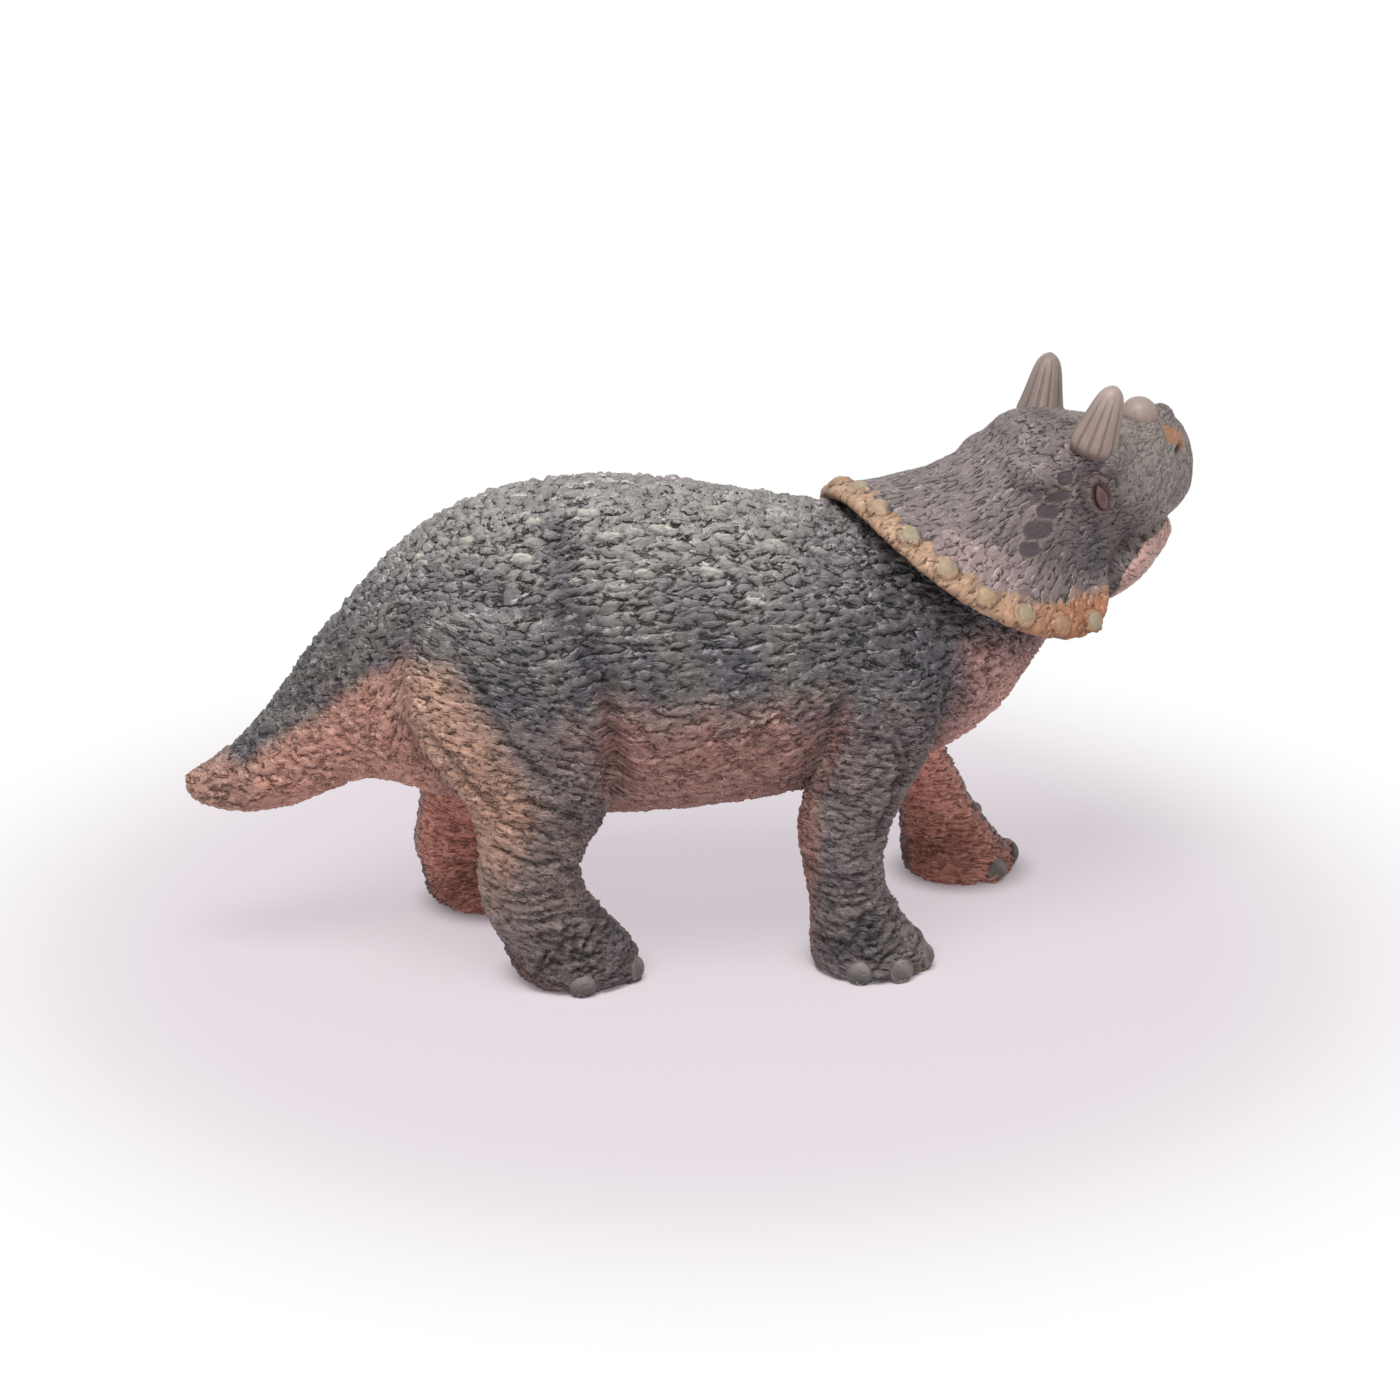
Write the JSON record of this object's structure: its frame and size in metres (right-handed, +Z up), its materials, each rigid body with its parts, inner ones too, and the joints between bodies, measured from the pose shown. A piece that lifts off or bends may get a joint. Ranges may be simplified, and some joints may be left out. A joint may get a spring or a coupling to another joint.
{
  "type": "toy dinosaur figure",
  "caption": "Moulded plastic toy figure of a young three-horned dinosaur, walking on four feet with its frilled head raised and turned a little to its left.",
  "frame": {"origin": "centre of the bounding box's bottom face, on the floor that the soles stand on", "axes": "+X towards the head, +Y to the animal's left, +Z up"},
  "size_m": [0.1079, 0.0372, 0.059],
  "materials": {
    "trunk_and_neck": "grey-green paint with a dark wash and pale dry-brushed scales, reddish belly",
    "tail": "grey-green paint above, tan and pink below, ochre tip",
    "hind_leg_right": "grey-green paint with a tan rear, grey nails",
    "hind_leg_left": "grey-green paint outside, pinkish brown inside, grey nails",
    "front_leg_right": "grey-green paint outside, reddish brown inside, grey nails",
    "front_leg_left": "grey-green paint outside, reddish brown inside, grey nails",
    "head_and_frill": "purple-grey paint with an orange frill rim and an orange patch on the beak",
    "lower_jaw": "pinkish grey paint",
    "brow_horn_left": "taupe paint, finely grooved lengthways",
    "brow_horn_right": "taupe paint, finely grooved lengthways",
    "nose_horn": "smooth taupe paint"
  },
  "bodies": {
    "root": {"trunk_and_neck": "trunk_and_neck", "tail": "tail", "hind_leg_right": "hind_leg_right", "hind_leg_left": "hind_leg_left", "front_leg_right": "front_leg_right", "front_leg_left": "front_leg_left", "head_and_frill": "head_and_frill", "lower_jaw": "lower_jaw", "brow_horn_left": "brow_horn_left", "brow_horn_right": "brow_horn_right", "nose_horn": "nose_horn"}
  },
  "joints": []
}
